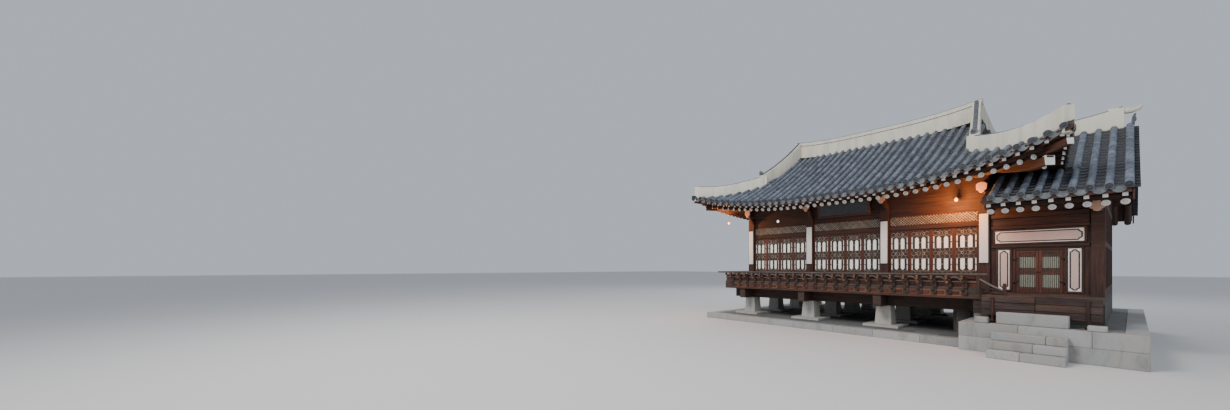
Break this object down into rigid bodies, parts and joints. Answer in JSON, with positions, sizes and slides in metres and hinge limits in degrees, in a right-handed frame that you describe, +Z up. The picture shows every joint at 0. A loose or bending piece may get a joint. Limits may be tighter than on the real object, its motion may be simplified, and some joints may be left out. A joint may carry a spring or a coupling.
{
  "type": "hanok house",
  "caption": "Raised hall with a railed veranda under a hip-and-gable tile roof, joined to a lower wing with a porch and a pair of hinged doors.",
  "frame": {"origin": "on the ground under the middle of the front left column, on the underside of the stone platform", "axes": "+X along the front towards the wing, +Y into the house, +Z up"},
  "size_m": [13.25, 10.75, 8.52],
  "materials": {
    "granite": "rough dressed",
    "timber": "oiled, weathered",
    "dark_timber": "dark, dusty",
    "plank": "weathered boards",
    "tile": "worn matt clay tile",
    "plaster": "lime plaster",
    "sign": "dark lacquer"
  },
  "bodies": {
    "house": {"back_wall": "timber", "column_1": "timber", "column_2": "timber", "column_3": "timber", "column_4": "timber", "door_set_1": "timber", "door_set_2": "timber", "door_set_3": "timber", "entry_steps": "granite", "floor_beams": "dark_timber", "gable_left": "timber", "gable_right": "timber", "hip_ridge_back_left": "plaster", "hip_ridge_back_right": "plaster", "hip_ridge_front_left": "plaster", "hip_ridge_front_right": "plaster", "left_wall": "timber", "main_ridge": "plaster", "main_roof": "tile", "name_board": "sign", "partition_wall": "plaster", "pavilion_floor": "plank", "pavilion_platform": "granite", "pier_1_1": "granite", "pier_1_2": "granite", "pier_1_3": "granite", "pier_2_1": "granite", "pier_2_2": "granite", "pier_2_3": "granite", "pier_3_1": "granite", "pier_3_2": "granite", "pier_3_3": "granite", "pier_4_1": "granite", "pier_4_2": "granite", "pier_4_3": "granite", "porch_skirt": "plank", "railing_back": "plank", "railing_front": "plank", "railing_left": "plank", "roof_frame": "timber", "step_stone": "granite", "veranda_skirt": "plank", "wing_back_wall": "timber", "wing_base": "granite", "wing_end_wall": "plaster", "wing_floor": "plank", "wing_foundation": "granite", "wing_ridge": "plaster", "wing_roof": "tile", "wing_wall_left": "timber", "wing_wall_over_door": "timber", "wing_wall_right": "timber"},
    "left_leaf": {"door_leaf_left": "timber"},
    "right_leaf": {"door_leaf_right": "timber"}
  },
  "joints": [
    {"name": "left_leaf_hinge", "type": "hinge", "parent": "house", "child": "left_leaf", "pos_m": [8.8025, -0.074, 2.215], "axis": [0, 0, -1], "range_deg": [0, 100]},
    {"name": "right_leaf_hinge", "type": "hinge", "parent": "house", "child": "right_leaf", "pos_m": [9.7475, -0.074, 2.215], "axis": [0, 0, 1], "range_deg": [0, 100]}
  ]
}
